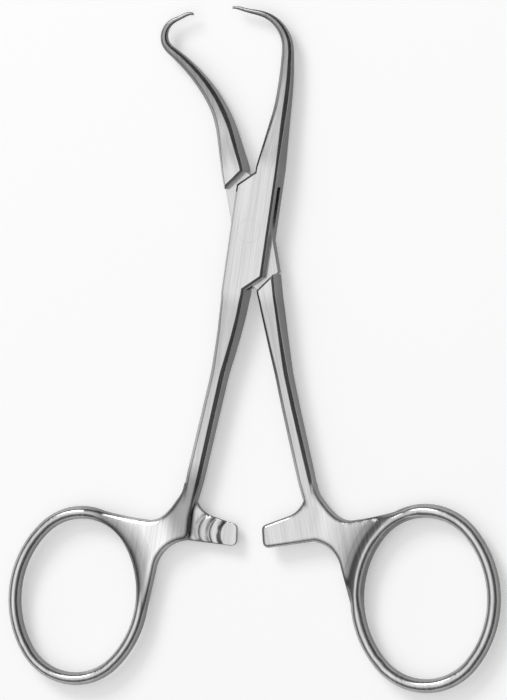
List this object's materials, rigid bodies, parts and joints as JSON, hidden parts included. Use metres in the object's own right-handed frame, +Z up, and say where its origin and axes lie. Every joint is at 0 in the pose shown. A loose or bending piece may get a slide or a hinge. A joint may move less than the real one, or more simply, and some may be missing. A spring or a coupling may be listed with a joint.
{
  "type": "towel clamp",
  "caption": "Small box-lock towel clamp: two forged halves with finger rings, a toothed ratchet and curved sharp hook jaws, joined by a flush rivet.",
  "frame": {"origin": "on the pivot's axis, in the plane of the lock's underside, on which the clamp lies", "axes": "+Z up along the pivot's axis, +Y from the pivot towards the jaws, +X towards the male half's finger ring"},
  "size_m": [0.0817, 0.1083, 0.0048],
  "materials": {
    "steel": "satin polished stainless steel"
  },
  "bodies": {
    "box_side": {"box_half": "steel", "pivot_pin": "steel"},
    "male_side": {"male_half": "steel"}
  },
  "joints": [
    {"name": "box_lock_pivot", "type": "hinge", "parent": "box_side", "child": "male_side", "pos_m": [0, 0, 0.0024], "axis": [0, 0, 1], "range_deg": [-10.6, 40]}
  ]
}
